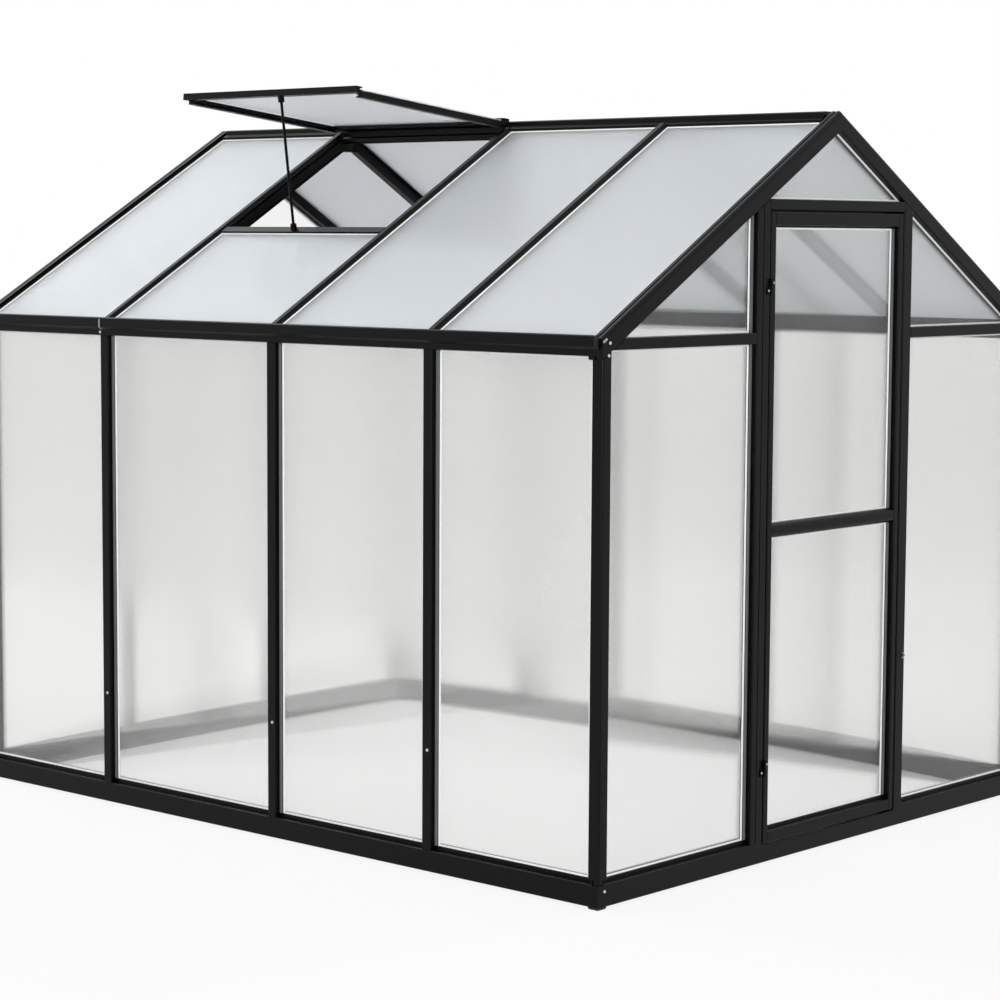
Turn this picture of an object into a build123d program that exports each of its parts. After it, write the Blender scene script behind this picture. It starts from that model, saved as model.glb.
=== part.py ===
from build123d import *
import os
from math import cos, radians, sin, tan

# Free-standing walk-in greenhouse: black aluminium extrusions, milky panes, one hinged door.
# X runs across the door gable, Y from the door gable to the back, Z up from the ground.

# Driving sizes, millimetres and degrees
width = 1900.0
bay = 562.0
vent_bay = 670.0
head_top = 1331.0
pitch = 30.5
fit = 0.3
overrun = 200.0

# Panes and the grooves that hold them
pane = 4.0
pane_set = 20.0
bite = 6.0
spare = 2.0

# Wall frame profiles
frame_depth = 44.0
edge_round = 3.0
post_face = 30.0
post_web = 12.0
lip_reach = 11.0
lip_thick = 3.7
post_depth = 33.0
channel_mouth = 7.0
channel_width = 12.0
channel_lip = 3.5
channel_depth = 4.5
corner_round = 6.0

# Base rail and feet
foot_height = 6.0
foot_side = 36.0
foot_inset = 1.0
foot_round = 8.0
foot_edge = 3.0
base_face = 54.0
shoulder_rise = 3.0
base_lip = 9.0

# Head rail and eave gutter
head_height = 16.0
eave_rise = 27.0
gutter_reach = 12.0
gutter_wall = 4.0
gutter_floor = 2.5
gutter_rise = 29.0
gutter_belly = 7.0
gutter_inset = 16.0
bead_radius = 5.0
trough_edge = 12.0
pane_end = 8.0
seam_gap = 0.6
cap_thick = 2.5
cap_edge = 1.0

# Roof bars, verge rafters and ridge
roof_set = 12.0
bar_top = 14.0
bar_face = 26.0
bar_lip = 34.0
bar_lip_thick = 3.7
bar_web = 10.0
bar_depth = 50.0
bar_stem = 16.0
bar_flange = 3.7
rafter_depth = 44.0
verge_round = 10.0
verge_groove = 5.0
verge_groove_depth = 4.0
verge_groove_set = 17.0
verge_step = 31.0
ridge_top = 26.0
ridge_cap = 36.0
ridge_bevel = 3.0
ridge_wing = 30.0
ridge_lip = 8.0
ridge_stem = 28.0
ridge_depth = 51.0

# Gable frame
transom_lift = 14.0
transom_height = 28.0
doorway = 600.0
hinge_jamb = 50.0
latch_jamb = 39.0
jamb_groove = 3.0
jamb_groove_set = 21.0
lintel_height = 27.0
threshold = 49.0
stop_reach = 12.0
stop_thick = 5.0
back_bevel = 20.0
back_post_x = 320.0

# Door leaf
door_gap = 5.0
door_depth = 34.0
stile_face = 20.0
stile_bevel = 9.0
door_top_face = 39.0
door_top_lip = 5.0
door_mid_face = 37.0
door_mid_height = 837.0
door_mid_round = 13.0
door_low_face = 29.0
door_low_lip = 8.0

# Door hinges
hinge_out = 5.0
hinge_radius = 4.0
hinge_pin = 2.0
hinge_half = 20.0
hinge_plate = 16.0
hinge_plate_thick = 2.5
hinge_low = 250.0
hinge_high = 1471.0

# Roof window
vent_open = 6.2
vent_length = 624.0
vent_overlap = 10.0
vent_rail = 22.0
vent_thick = 18.0
vent_drop = 4.0
vent_pane_lift = 6.0
hinge_bead = 4.0
hinge_hook = 2.5
hinge_neck = 3.0
hinge_side = 6.0
hinge_fall = 9.0
hook_upper = 32.0
hook_lower = 52.0
sill_at = 587.0
sill_face = 26.0
sill_top = 4.0
sill_depth = 30.0
stay_radius = 4.0
stay_head_shift = -44.0
stay_foot_shift = 30.0
lug_side = 14.0
lug_height = 16.0
lug_socket = 9.0

# Worked-out places
length = 3 * bay + vent_bay
rise = tan(radians(pitch))
lean = cos(radians(pitch))
half = width / 2
end = length / 2
ridge_height = head_top + eave_rise + half * rise
soffit_height = ridge_height - rafter_depth / lean
head_low = head_top - head_height
slot_out = pane_set - fit
slot_in = pane_set + pane + fit
slot_deep = bite + spare
lip_out = slot_out - lip_thick
corner_box = frame_depth - lip_reach
roof_slot_out = roof_set - fit
roof_slot_in = roof_set + pane + fit
roof_lip_top = bar_lip_thick - roof_slot_out
post_places = [bay - end, 2 * bay - end, 2 * bay + vent_bay - end]
vent_middle = (post_places[1] + post_places[2]) / 2
base_top = foot_height + base_face + shoulder_rise + base_lip
transom_low = head_low + transom_lift
transom_top = transom_low + transom_height
lintel_top = soffit_height - doorway / 2 * rise
door_head = lintel_top - lintel_height

down_slope = Vector(-lean, 0, -sin(radians(pitch)))
up_normal = Vector(-sin(radians(pitch)), 0, lean)


def outline(*points):
    """Flat closed face through the given points."""
    return make_face(Polyline(*points, close=True))


def grown(section):
    """The same section, larger all round by the fitting clearance."""
    return offset(section, amount=fit, kind=Kind.INTERSECTION)


def lay(section, x, y, z, inward, run):
    """Rail of the (inward, up) section, level, centred on the point."""
    along = Vector(*inward).cross(Vector(0, 0, 1))
    place = Plane(origin=(x, y, z), x_dir=inward, z_dir=along)
    return extrude(place * section, amount=run / 2, both=True)


def stand(section, x, y, low, high, inward):
    """Post of the (across, inward) section from low to high."""
    across = Vector(*inward).cross(Vector(0, 0, 1))
    place = Plane(origin=(x, y, low), x_dir=across, z_dir=(0, 0, 1))
    return extrude(place * section, amount=high - low)


def slope(section, y, start, run):
    """Left-hand roof member of the (along -Y, normal) section, from start down the slope."""
    origin = Vector(0, y, ridge_height) + down_slope * start
    place = Plane(origin=origin, x_dir=(0, -1, 0), z_dir=down_slope)
    return extrude(place * section, amount=run)


def block(x_low, x_high, y_low, y_high, z_low, z_high):
    """Plain box between two corners."""
    face = Pos(0, 0, z_low) * outline((x_low, y_low), (x_high, y_low), (x_high, y_high), (x_low, y_high))
    return extrude(face, amount=z_high - z_low)


def mirrored(solids, plane):
    """Copies of the solids on the other side of a plane."""
    return [mirror(solid, about=plane) for solid in solids]


def write(name, solids):
    """One file for each node."""
    pieces = [piece for solid in solids for piece in solid.solids()]
    shape = pieces[0] if len(pieces) == 1 else Compound(children=pieces)
    export_step(shape, f"parts/{name}.step")


def rounded(section, corners, radius):
    """The section with the corners nearest the given points rounded."""
    chosen = [section.vertices().sort_by_distance((x, y, 0))[0] for x, y in corners]
    return fillet(chosen, radius)


def base_section():
    """Base rail: flat face, sloping ledge and the groove that the panes stand in."""
    ledge = base_face + shoulder_rise
    lip_top = ledge + base_lip
    floor = lip_top - slot_deep - spare
    section = outline((0, 0), (0, base_face), (lip_out, ledge), (lip_out, lip_top), (slot_out, lip_top),
                      (slot_out, floor), (slot_in, floor), (slot_in, lip_top), (frame_depth, lip_top),
                      (frame_depth, 0))
    return rounded(section, [(0, 0), (0, base_face)], edge_round)


def post_section():
    """Glazing post: outer box, lips on the panes, web between them and a bolt channel."""
    box = post_face / 2
    lip = box + lip_reach
    web = post_web / 2
    mouth = channel_mouth / 2
    cave = channel_width / 2
    inner = post_depth - channel_lip
    right = [(box, 0), (box, lip_out), (lip, lip_out), (lip, slot_out), (web, slot_out), (web, slot_in),
             (box, slot_in), (box, post_depth), (mouth, post_depth), (mouth, inner), (cave, inner),
             (cave, inner - channel_depth)]
    section = outline(*right, *[(-w, u) for w, u in reversed(right)])
    return rounded(section, [(box, 0), (-box, 0)], edge_round)


def corner_section():
    """Corner post on plan: box with a rounded outer corner, a lip and a groove on each inner side."""
    side = frame_depth
    box = corner_box
    deep = side - slot_deep
    section = outline((0, 0), (box, 0), (box, lip_out), (side, lip_out), (side, slot_out), (deep, slot_out),
                      (deep, slot_in), (side, slot_in), (side, side), (slot_in, side), (slot_in, deep),
                      (slot_out, deep), (slot_out, side), (lip_out, side), (lip_out, box), (0, box))
    section = rounded(section, [(box, 0), (0, box)], edge_round)
    return rounded(section, [(0, 0)], corner_round)


def head_section():
    """Head rail over the wall panes, groove below."""
    section = outline((0, 0), (slot_out, 0), (slot_out, slot_deep), (slot_in, slot_deep), (slot_in, 0),
                      (frame_depth, 0), (frame_depth, head_height), (0, head_height))
    return rounded(section, [(0, 0)], edge_round)


def gutter_section():
    """Eave gutter: sloping seat for the roof panes, trough and a rolled lip."""
    def seat(u):
        return eave_rise + u * rise - roof_slot_in / lean
    wall = gutter_reach - gutter_wall
    trough = outline((frame_depth, 0), (-gutter_wall, 0), (-gutter_reach, gutter_belly),
                     (-gutter_reach, gutter_rise), (-wall, gutter_rise),
                     (-wall, gutter_floor + gutter_wall), (-gutter_wall, gutter_floor),
                     (trough_edge, gutter_floor), (trough_edge, seat(trough_edge)),
                     (frame_depth, seat(frame_depth)))
    return trough + Pos(bead_radius - gutter_reach, gutter_rise) * Circle(bead_radius)


def cap_section():
    """End plate of the gutter, with its rim standing out round the trough."""
    inner = -fit - cap_edge
    plate = outline((inner, 0), (-gutter_wall, 0), (-gutter_reach, gutter_belly),
                    (-gutter_reach, gutter_rise), (inner, gutter_rise))
    plate = plate + Pos(bead_radius - gutter_reach, gutter_rise) * Circle(bead_radius)
    return offset(plate, amount=cap_edge, kind=Kind.ARC)


def bar_section():
    """Roof glazing bar: tapered cap over the panes, web between them and an I-shaped stem."""
    crown = bar_top / 2
    face = bar_face / 2
    lip = bar_lip / 2
    web = bar_web / 2
    stem = bar_stem / 2
    flange_low = -roof_slot_in - bar_flange
    foot_top = bar_flange - bar_depth
    right = [(crown, 0), (face, roof_lip_top), (lip, roof_lip_top), (lip, -roof_slot_out),
             (web, -roof_slot_out), (web, -roof_slot_in), (lip, -roof_slot_in), (lip, flange_low),
             (stem, flange_low), (stem, foot_top), (face, foot_top), (face, -bar_depth)]
    return outline(*right, *[(-w, n) for w, n in reversed(right)])


def verge_section():
    """Verge rafter: rounded face, grooved and stepped top, grooves for roof and gable panes."""
    side = frame_depth
    deep = side - slot_deep
    low = -rafter_depth
    near = verge_groove_set
    far = near + verge_groove
    step = verge_step
    section = outline((0, 0), (near, 0), (near, -verge_groove_depth), (far, -verge_groove_depth),
                      (far, 0), (step, 0), (step, roof_lip_top), (side, roof_lip_top),
                      (side, -roof_slot_out), (deep, -roof_slot_out), (deep, -roof_slot_in),
                      (side, -roof_slot_in), (side, low), (slot_in, low), (slot_in, low + slot_deep),
                      (slot_out, low + slot_deep), (slot_out, low), (0, low))
    section = rounded(section, [(0, low)], edge_round)
    return rounded(section, [(0, 0)], verge_round)


def ridge_section():
    """Ridge beam: bevelled cap, a pair of lips for the panes on each side and a deep stem."""
    cap = ridge_cap / 2
    wing = ridge_wing
    stem = ridge_stem / 2

    def under(x, n):
        return -x * rise - n / lean
    slot = cap + spare
    right = [(ridge_top / 2, 0), (cap, -ridge_bevel), (cap, under(cap, roof_slot_out - ridge_lip)),
             (wing, under(wing, roof_slot_out - ridge_lip)), (wing, under(wing, roof_slot_out)),
             (slot, under(slot, roof_slot_out)), (slot, under(slot, roof_slot_in)),
             (wing, under(wing, roof_slot_in)), (wing, under(wing, roof_slot_in + ridge_lip)),
             (stem, under(wing, roof_slot_in + ridge_lip)), (stem, -ridge_depth)]
    return outline(*right, *[(-x, z) for x, z in reversed(right)])


# Base: four mitred rails on corner feet
base = base_section()
left_run = lay(base, -half, 0, foot_height, (1, 0, 0), length)
front_run = lay(base, 0, -end, foot_height, (0, 1, 0), width)
grown_left = lay(grown(base), -half, 0, foot_height, (1, 0, 0), length)
grown_front = lay(grown(base), 0, -end, foot_height, (0, 1, 0), width)
left_mitre = extrude(outline((-half, -end), (-half, end), (frame_depth - half, end - frame_depth),
                             (frame_depth - half, frame_depth - end)), amount=head_top)
front_mitre = extrude(outline((-half, -end), (half, -end), (half - frame_depth, frame_depth - end),
                              (frame_depth - half, frame_depth - end)), amount=head_top)
base_left = left_run & left_mitre
base_side = front_run & front_mitre
doorway_cut = block(-doorway / 2, doorway / 2, -end - overrun, overrun - end, threshold, head_top)
base_front = base_side - doorway_cut
base_back = mirror(base_side, about=Plane.XZ)
foot_face = Pos(foot_side / 2 - half + foot_inset, foot_side / 2 - end + foot_inset) * RectangleRounded(
    foot_side, foot_side, foot_round)
foot = extrude(foot_face, amount=foot_height)
foot = chamfer(foot.edges().group_by(Axis.Z)[0], foot_edge)
feet = [foot, mirror(foot, about=Plane.YZ)]
feet = feet + mirrored(feet, Plane.XZ)

# Verge rafters: cut plumb at the apex and at the wall face
apex_side = block(-half, 0, -end - overrun, end + overrun, 0, ridge_height + overrun)
slope_run = half / lean + overrun
verge = verge_section()


def verge_member(section):
    """Left-hand verge of the door gable."""
    place = Plane(origin=Vector(0, -end, ridge_height) - down_slope * overrun, x_dir=(0, 1, 0),
                  z_dir=-down_slope)
    return extrude(place * section, amount=-(slope_run + overrun)) & apex_side


verge_left = verge_member(verge)
verge_left_grown = verge_member(outline((0, 0), (frame_depth, 0), (frame_depth, -rafter_depth - fit),
                                        (0, -rafter_depth - fit)))

# Posts: coped over the base rail, corner posts cut under the verge
corner = extrude(Pos(-half, -end, foot_height) * corner_section(), amount=head_top)
corner = corner - grown_left - grown_front
corner = corner - verge_member(outline((0, overrun), (frame_depth + overrun, overrun),
                                       (frame_depth + overrun, -rafter_depth - fit),
                                       (0, -rafter_depth - fit)))
corner = corner.solids().sort_by(SortBy.VOLUME)[-1]
posts_left = []
for y in post_places:
    post = stand(post_section(), -half, y, foot_height, head_low - fit, (1, 0, 0)) - grown_left
    posts_left.append(post.solids().sort_by(SortBy.VOLUME)[-1])

# Head rails and gutters, between the gable frames
side_run = length - 2 * (frame_depth + fit)
head_left = lay(head_section(), -half, 0, head_low, (1, 0, 0), side_run)
gutter = gutter_section()
gable_zone = block(-half - fit, overrun - half, -end - overrun, frame_depth + fit - end, 0, ridge_height)
gutter_run = lay(gutter, -half, 0, head_top, (1, 0, 0), length - 2 * gutter_inset)
gutter_run = gutter_run - gable_zone - mirror(gable_zone, about=Plane.XZ)
gutter_grown = lay(grown(gutter), -half, 0, head_top, (1, 0, 0), length)
seam = block(-half - overrun, overrun - half, post_places[2] - seam_gap / 2, post_places[2] + seam_gap / 2,
             0, ridge_height)
gutter_left = gutter_run - seam
cap_y = gutter_inset - fit - cap_thick / 2 - end
gutter_cap = lay(cap_section(), -half, cap_y, head_top, (1, 0, 0), cap_thick)
gutter_caps = [gutter_cap, mirror(gutter_cap, about=Plane.YZ)]
gutter_caps = gutter_caps + mirrored(gutter_caps, Plane.XZ)

# Roof bars
bars_left = []
wall_zone = block(-half - overrun, frame_depth + fit - half, -end, end, 0, head_top + fit)
bar_zone = block(pane_end - half, -ridge_wing - fit, -end, end, 0, ridge_height + overrun)
for y in post_places:
    bar = slope(bar_section(), y, 0, slope_run) & bar_zone
    bar = bar - gutter_grown - wall_zone
    bars_left.append(bar.solids().sort_by(SortBy.VOLUME)[-1])

# Ridge beam with the hook that carries the roof window
ridge_run = length - 2 * (frame_depth + fit)
ridge = lay(ridge_section(), 0, 0, ridge_height, (1, 0, 0), ridge_run)
vent_clear = vent_bay - bar_lip
vent_cut = block(-ridge_wing - overrun, -ridge_cap / 2,
                 vent_middle - vent_clear / 2 - vent_overlap - fit - bar_lip / 2,
                 vent_middle + vent_clear / 2 + vent_overlap + fit + bar_lip / 2,
                 ridge_height - ridge_wing * rise - roof_slot_out / lean, ridge_height + overrun)
ridge = ridge - vent_cut
pivot_x = -ridge_cap / 2 - hinge_side
pivot_z = ridge_height - hinge_fall
ring = Circle(hinge_bead + fit + hinge_hook) - Circle(hinge_bead + fit)
mouth_reach = hinge_bead + fit + hinge_hook + overrun
mouth = outline((0, 0), (-mouth_reach, mouth_reach * tan(radians(hook_upper))),
                (-mouth_reach, -mouth_reach * tan(radians(hook_lower))))
hook_place = Plane(origin=(pivot_x, vent_middle, pivot_z), x_dir=(1, 0, 0), z_dir=(0, -1, 0))
hook = extrude(hook_place * (ring - mouth), amount=vent_clear / 2, both=True)
bead_room = extrude(hook_place * Circle(hinge_bead + fit), amount=vent_bay / 2 + vent_overlap, both=True)
ridge = (ridge + hook - bead_room).solids().sort_by(SortBy.VOLUME)[-1]

# Gable frame of the door end
under_verge = verge_member(outline((-overrun, ridge_height), (frame_depth + overrun, ridge_height),
                                   (frame_depth + overrun, -rafter_depth - fit),
                                   (-overrun, -rafter_depth - fit)))
under_verge = under_verge + mirror(under_verge, about=Plane.YZ)
grown_front_rail = grown_front - block(-doorway / 2, doorway / 2, -end - overrun, overrun - end,
                                       threshold + fit, head_top)


def jamb_plan(face):
    """Door post on plan, left-hand: bevelled box, lip and groove for the side pane, door stop."""
    edge = -doorway / 2
    out = edge - face
    lip = out - lip_reach
    stop = frame_depth - stop_thick
    section = outline((out, 0), (edge, 0), (edge, stop), (edge + stop_reach, stop),
                      (edge + stop_reach, frame_depth), (lip + back_bevel, frame_depth),
                      (lip, slot_in + lip_thick), (lip, slot_in), (lip + slot_deep, slot_in),
                      (lip + slot_deep, slot_out), (lip, slot_out), (lip, lip_out), (out, lip_out))
    return rounded(section, [(out, 0), (edge, 0)], edge_round)


def jamb(section):
    """Door post of a plan section, coped over the base rail and cut under the verge."""
    post = extrude(Pos(0, -end, foot_height) * section, amount=ridge_height)
    return (post - grown_front_rail - under_verge).solids().sort_by(SortBy.VOLUME)[-1]


hinge_plan = jamb_plan(hinge_jamb)
latch_plan = jamb_plan(latch_jamb)
groove_x = jamb_groove_set - doorway / 2 - hinge_jamb
face_groove = outline((groove_x, 0), (groove_x + jamb_groove, 0), (groove_x + jamb_groove, jamb_groove),
                      (groove_x, jamb_groove))
jamb_left = jamb(hinge_plan - face_groove)
jamb_right = mirror(jamb(latch_plan), about=Plane.YZ)
lintel_section = outline((0, 0), (frame_depth - stop_thick, 0), (frame_depth - stop_thick, -stop_reach),
                         (frame_depth, -stop_reach), (frame_depth, lintel_height), (slot_in, lintel_height),
                         (slot_in, lintel_height - slot_deep), (slot_out, lintel_height - slot_deep),
                         (slot_out, lintel_height), (0, lintel_height))
lintel_section = rounded(lintel_section, [(0, 0), (0, lintel_height)], edge_round)
lintel_whole = lay(lintel_section, 0, -end, door_head, (0, 1, 0), doorway - 2 * fit)
jamb_stops = block(-doorway / 2 - fit, stop_reach + fit - doorway / 2, frame_depth - stop_thick - end - fit,
                   frame_depth - end + fit, 0, ridge_height)
lintel = lintel_whole - jamb_stops - mirror(jamb_stops, about=Plane.YZ) - under_verge

transom_section = outline((0, 0), (slot_out, 0), (slot_out, slot_deep), (slot_in, slot_deep), (slot_in, 0),
                          (frame_depth, 0), (frame_depth, transom_height), (slot_in, transom_height),
                          (slot_in, transom_height - slot_deep), (slot_out, transom_height - slot_deep),
                          (slot_out, transom_height), (0, transom_height))


transom_section = rounded(transom_section, [(0, 0), (0, transom_height)], edge_round)
corner_room = extrude(Pos(-half, -end) * grown(corner_section()), amount=ridge_height)
hinge_room = extrude(Pos(0, -end) * grown(hinge_plan), amount=ridge_height)
latch_room = extrude(Pos(0, -end) * grown(latch_plan), amount=ridge_height)


def transom(x_low, x_high, far_room):
    """Gable transom between two places across the door gable, coped round the uprights."""
    bar = lay(transom_section, (x_low + x_high) / 2, -end, transom_low, (0, 1, 0), x_high - x_low)
    bar = bar - corner_room - far_room - under_verge
    return bar.solids().sort_by(SortBy.VOLUME)[-1]


transom_start = corner_box + fit - half
transom_left = transom(transom_start, -doorway / 2 - hinge_jamb - fit, hinge_room)
transom_right = mirror(transom(transom_start, -doorway / 2 - latch_jamb - fit, latch_room), about=Plane.YZ)

# Back gable: two glazing posts under one long transom
back_transom = transom(transom_start, -transom_start, mirror(corner_room, about=Plane.YZ))
back_posts = []
for x in (-back_post_x, back_post_x):
    post = stand(post_section(), x, -end, foot_height, transom_low - fit, (0, 1, 0)) - grown_front
    back_posts.append(post.solids().sort_by(SortBy.VOLUME)[-1])

# Wall and roof panes
wall_low = base_top - slot_deep - spare + fit
wall_high = head_low + bite


def intervals(web):
    """Pane edges along a long wall, between the grooves."""
    edge = web / 2 + spare
    lows = [frame_depth - bite - end] + [y + edge for y in post_places]
    highs = [y - edge for y in post_places] + [end - frame_depth + bite]
    return list(zip(lows, highs))


verge_back_grown = mirror(verge_left_grown, about=Plane.XZ)
wall_panes = [block(pane_set - half, pane_set + pane - half, low, high, wall_low, wall_high)
              - verge_left_grown - verge_back_grown for low, high in intervals(post_web)]


def roof_pane(low, high, start, finish):
    """Roof pane between two plumb cuts."""
    section = outline((-high, -roof_set), (-low, -roof_set), (-low, -roof_set - pane),
                      (-high, -roof_set - pane))
    return slope(section, 0, 0, slope_run) & block(-finish, -start, -end, end, 0, ridge_height)


roof_top = ridge_cap / 2 + 2 * spare
roof_foot = half - pane_end
roof_spans = intervals(bar_web)
roof_right = mirrored([roof_pane(low, high, roof_top, roof_foot) for low, high in roof_spans], Plane.YZ)
roof_left = []
for low, high in roof_spans:
    under_vent = low < vent_middle < high
    start = (sill_at + sill_face - bite) * lean if under_vent else roof_top
    roof_left.append(roof_pane(low, high, start, roof_foot))

# Gable panes: daylight outlines grown into the grooves
gable_place = Plane(origin=(0, pane_set - end, 0), x_dir=(1, 0, 0), z_dir=(0, -1, 0))


def soffit(x):
    """Height of the underside of the verge rafters."""
    return soffit_height - abs(x) * rise


def gable_pane(*points):
    """Pane of the door gable, from its daylight outline."""
    return extrude(gable_place * offset(outline(*points), amount=bite, kind=Kind.ARC), amount=-pane)


def soffit_reach(height):
    """Distance from the middle to the verge soffit at a height."""
    return (soffit_height - height) / rise


corner_in = frame_depth - half
lower_low = base_top - slot_deep - spare + fit + bite


def lower_pane(low_x, high_x):
    """Pane between base rail and transom."""
    return gable_pane((low_x, lower_low), (high_x, lower_low), (high_x, transom_low), (low_x, transom_low))


def side_panes(face):
    """Lower and upper pane between the left corner post and a door post of the given face."""
    inner = -doorway / 2 - face - lip_reach
    upper = gable_pane((-soffit_reach(transom_top), transom_top), (inner, transom_top),
                       (inner, soffit(inner)))
    return [lower_pane(corner_in, inner), upper]


top_reach = soffit_reach(lintel_top)
top_pane = gable_pane((-top_reach, lintel_top), (top_reach, lintel_top), (0, soffit_height))
top_pane = top_pane & block(fit - doorway / 2, doorway / 2 - fit, -end, end, 0, ridge_height)
front_panes = side_panes(hinge_jamb) + mirrored(side_panes(latch_jamb), Plane.YZ) + [top_pane]
web_edge = post_web / 2 + spare + bite
back_reach = soffit_reach(transom_top)
back_panes = [lower_pane(corner_in, -back_post_x - web_edge),
              lower_pane(web_edge - back_post_x, back_post_x - web_edge),
              lower_pane(back_post_x + web_edge, -corner_in),
              gable_pane((-back_reach, transom_top), (back_reach, transom_top), (0, soffit_height))]

# Roof window: sill, four rails round a pane, hinge bead in the hook and a stay
sill_section = outline((0, -sill_top), (sill_face, -sill_top), (sill_face, -roof_slot_out),
                       (sill_face - slot_deep, -roof_slot_out), (sill_face - slot_deep, -roof_slot_in),
                       (sill_face, -roof_slot_in), (sill_face, -sill_top - sill_depth),
                       (0, -sill_top - sill_depth))
sill_place = Plane(origin=Vector(0, vent_middle, ridge_height) + down_slope * sill_at, x_dir=down_slope,
                   z_dir=down_slope.cross(up_normal))
sill = extrude(sill_place * sill_section, amount=(vent_clear - 2 * fit) / 2, both=True)

angle = radians(vent_open)
out_dir = Vector(-cos(angle), 0, sin(angle))
vent_up = Vector(sin(angle), 0, cos(angle))
vent_width = vent_bay + 2 * vent_overlap
vent_place = Plane(origin=(pivot_x, vent_middle, pivot_z), x_dir=out_dir, z_dir=(0, 1, 0))
rail_start = hinge_bead + fit + hinge_hook + spare
rail_low = -vent_drop
rail_high = vent_thick - vent_drop
vent_slot_low = vent_pane_lift - fit
vent_slot_high = vent_pane_lift + pane + fit


def vent_section(start, groove_at):
    """Rail of the roof window with its pane groove on one edge."""
    stop = start + vent_rail
    mouth_edge = stop if groove_at > start else start
    deep = mouth_edge - slot_deep if groove_at > start else mouth_edge + slot_deep
    rail = outline((start, rail_low), (stop, rail_low), (stop, rail_high), (start, rail_high))
    groove = outline((mouth_edge, vent_slot_low), (deep, vent_slot_low), (deep, vent_slot_high),
                     (mouth_edge, vent_slot_high))
    return rail - groove


top_rail = extrude(vent_place * vent_section(rail_start, rail_start + vent_rail), amount=vent_width / 2,
                   both=True)
neck = outline((0, -hinge_neck / 2), (rail_start + spare, -hinge_neck / 2),
               (rail_start + spare, hinge_neck / 2), (0, hinge_neck / 2)) + Circle(hinge_bead)
bead_run = vent_clear - 2 * fit
top_rail = top_rail + extrude(vent_place * neck, amount=bead_run / 2, both=True)
low_start = vent_length - vent_rail
low_rail = extrude(vent_place * vent_section(low_start, low_start), amount=vent_width / 2, both=True)
side_length = low_start - rail_start - vent_rail - 2 * fit
side_face = vent_section(0, vent_rail)
side_far = extrude(Plane(origin=Vector(pivot_x, vent_middle + vent_width / 2,
                                       pivot_z) + out_dir * (rail_start + vent_rail + fit),
                         x_dir=(0, -1, 0), z_dir=-out_dir) * side_face, amount=-side_length)
side_near = mirror(side_far, about=Plane.XZ.offset(-vent_middle))
pane_in = rail_start + vent_rail - bite
pane_out = low_start + bite
vent_pane_half = vent_width / 2 - vent_rail + bite
vent_pane = extrude(vent_place * outline((pane_in, vent_pane_lift), (pane_out, vent_pane_lift),
                                         (pane_out, vent_pane_lift + pane),
                                         (pane_in, vent_pane_lift + pane)), amount=vent_pane_half,
                    both=True)

# Stay: a rod in two lugs
stay_head = Vector(pivot_x, vent_middle + stay_head_shift, pivot_z)
lug_top_at = stay_head + out_dir * (low_start + vent_rail / 2) + vent_up * rail_low
stay_foot = Vector(0, vent_middle + stay_foot_shift, ridge_height)
sill_mid = stay_foot + down_slope * (sill_at + sill_face / 2) - up_normal * sill_top
stay_axis = (lug_top_at - sill_mid).normalized()
stay_span = (lug_top_at - sill_mid).length


def lug(at, axis):
    """Socketed lug with its foot at a point."""
    place = Plane(origin=at, x_dir=(0, 1, 0), z_dir=axis)
    body = extrude(place * RectangleRounded(lug_side, lug_side, edge_round), amount=lug_height)
    body = body + extrude(place * RectangleRounded(lug_side, lug_side, edge_round), amount=-lug_side)
    socket = extrude(place.offset(lug_height - lug_socket) * Circle(stay_radius + fit), amount=lug_socket)
    return body - socket


lug_low = lug(sill_mid, stay_axis) - extrude(sill_place * grown(sill_section), amount=vent_clear / 2,
                                             both=True)
lug_low = lug_low.solids().sort_by(SortBy.VOLUME)[-1]
rail_room = outline((low_start - fit, rail_low - fit), (vent_length + fit, rail_low - fit),
                    (vent_length + fit, rail_high), (low_start - fit, rail_high))
lug_high = lug(lug_top_at, -stay_axis) - extrude(vent_place * rail_room, amount=vent_width / 2, both=True)
lug_high = lug_high.solids().sort_by(SortBy.VOLUME)[-1]
rod_inset = lug_height - lug_socket + fit
rod = extrude(Plane(origin=sill_mid + stay_axis * rod_inset, x_dir=(0, 1, 0),
                    z_dir=stay_axis) * Circle(stay_radius), amount=stay_span - 2 * rod_inset)

# Door leaf
leaf_half = doorway / 2 - door_gap
leaf_low = threshold + door_gap
leaf_high = door_head - door_gap
stile_lip = stile_face + lip_reach
stile_section = outline((0, 0), (stile_face, 0), (stile_face, lip_out), (stile_lip, lip_out),
                        (stile_lip, slot_out), (stile_lip - slot_deep, slot_out),
                        (stile_lip - slot_deep, slot_in), (stile_lip, slot_in),
                        (stile_lip, slot_in + spare), (stile_lip - stile_bevel, door_depth),
                        (0, door_depth))
stile_section = rounded(stile_section, [(0, 0), (stile_face, 0)], edge_round)
stile_left = extrude(Pos(-leaf_half, -end, leaf_low) * stile_section, amount=leaf_high - leaf_low)
stile_room = extrude(Pos(-leaf_half, -end, leaf_low) * grown(stile_section), amount=leaf_high - leaf_low)
stile_rooms = stile_room + mirror(stile_room, about=Plane.YZ)


def door_rail(section, low):
    """Door rail of the (inward, up) section, coped round the stiles."""
    rail = lay(section, 0, -end, low, (0, 1, 0), 2 * (leaf_half - stile_face - fit)) - stile_rooms
    return rail.solids().sort_by(SortBy.VOLUME)[-1]


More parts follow.
